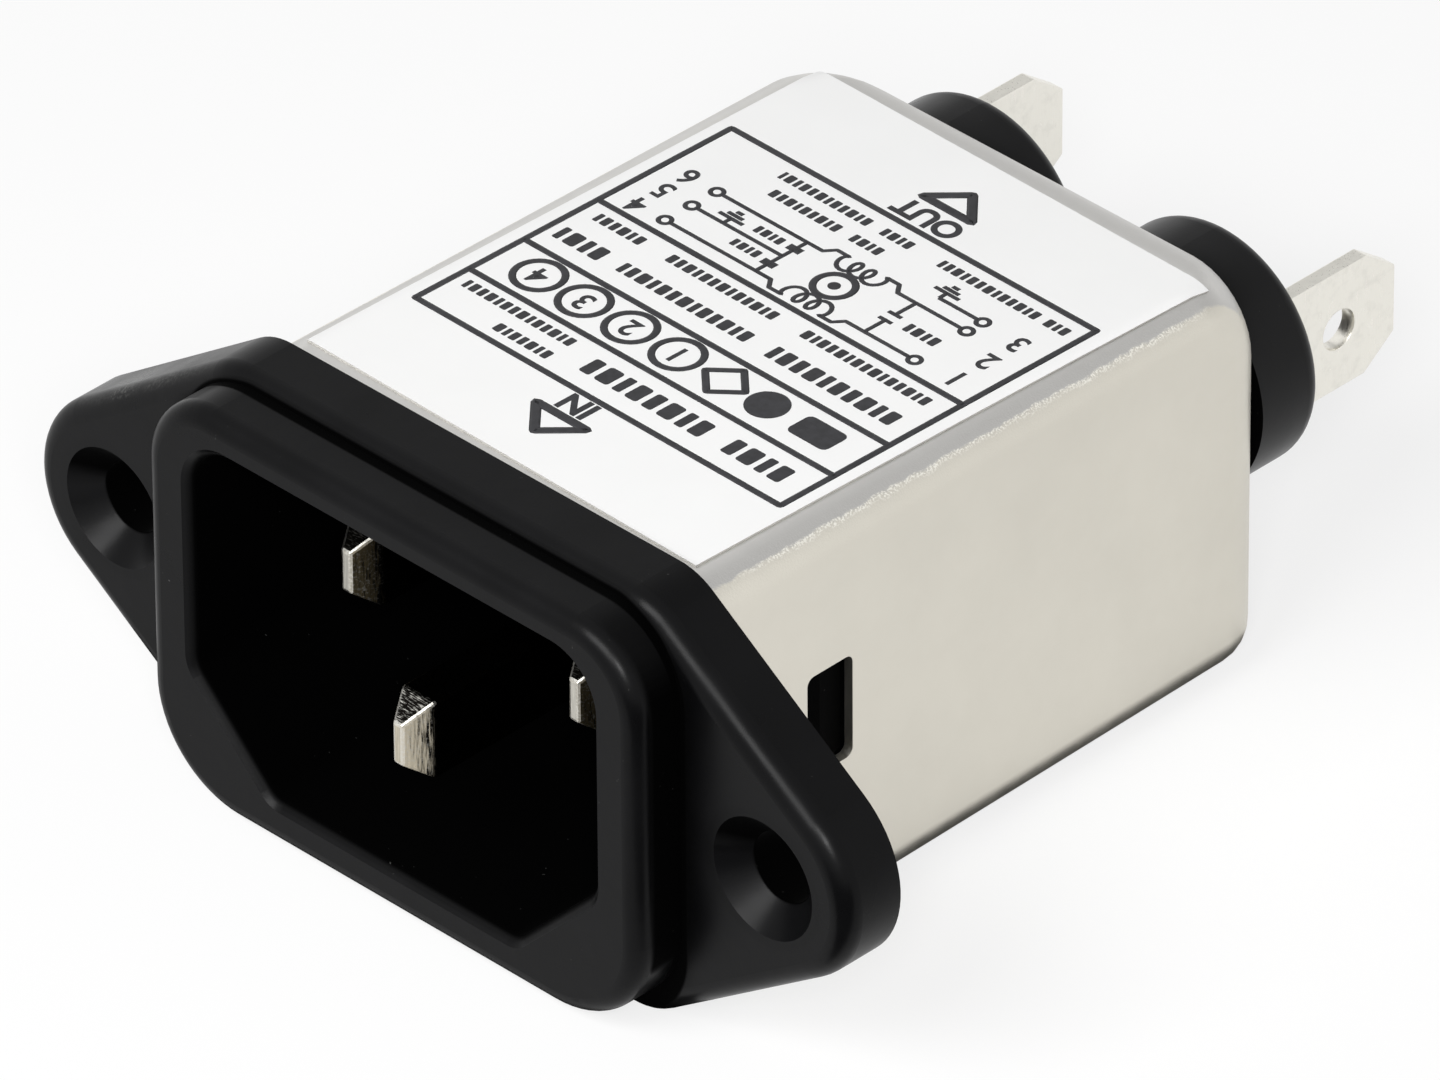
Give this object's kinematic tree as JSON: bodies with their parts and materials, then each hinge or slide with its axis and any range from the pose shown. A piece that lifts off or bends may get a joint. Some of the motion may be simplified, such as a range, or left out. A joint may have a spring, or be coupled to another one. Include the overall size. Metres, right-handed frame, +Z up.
{
  "type": "filtered mains inlet",
  "caption": "Panel-mount mains inlet: screw flange and raised rim round a recessed pin socket, a drawn steel filter can behind it, and push-on tabs on round insulators at the rear.",
  "frame": {"origin": "middle of the flange's rear face, halfway between the two screw holes, where the part meets the panel", "axes": "+X along the line of the screws, +Y back through the panel towards the load tabs, +Z up towards the labelled face"},
  "size_m": [0.05, 0.0522, 0.022],
  "materials": {
    "black_moulding": "satin moulded",
    "plated_brass": "nickel plated",
    "tinned_steel": "satin plated sheet",
    "white_film": "smooth printed film",
    "liner_card": "plain",
    "ferrite": "coated",
    "enamelled_copper": "enamelled",
    "capacitor_box": "moulded box",
    "capacitor_disc": "dipped"
  },
  "bodies": {
    "root": {"inlet_housing": "black_moulding", "left_power_pin": "plated_brass", "right_power_pin": "plated_brass", "earth_pin": "plated_brass", "filter_can": "tinned_steel", "label_film": "white_film", "right_terminal_insulator": "black_moulding", "left_terminal_insulator": "black_moulding", "right_load_tab": "plated_brass", "left_load_tab": "plated_brass", "earth_tab": "plated_brass", "earth_rivet": "tinned_steel", "earth_strap": "plated_brass", "insulating_liner": "liner_card", "choke_core": "ferrite", "choke_divider": "black_moulding", "right_winding": "enamelled_copper", "left_winding": "enamelled_copper", "x_capacitor": "capacitor_box", "right_y_capacitor": "capacitor_disc", "left_y_capacitor": "capacitor_disc"}
  },
  "joints": []
}
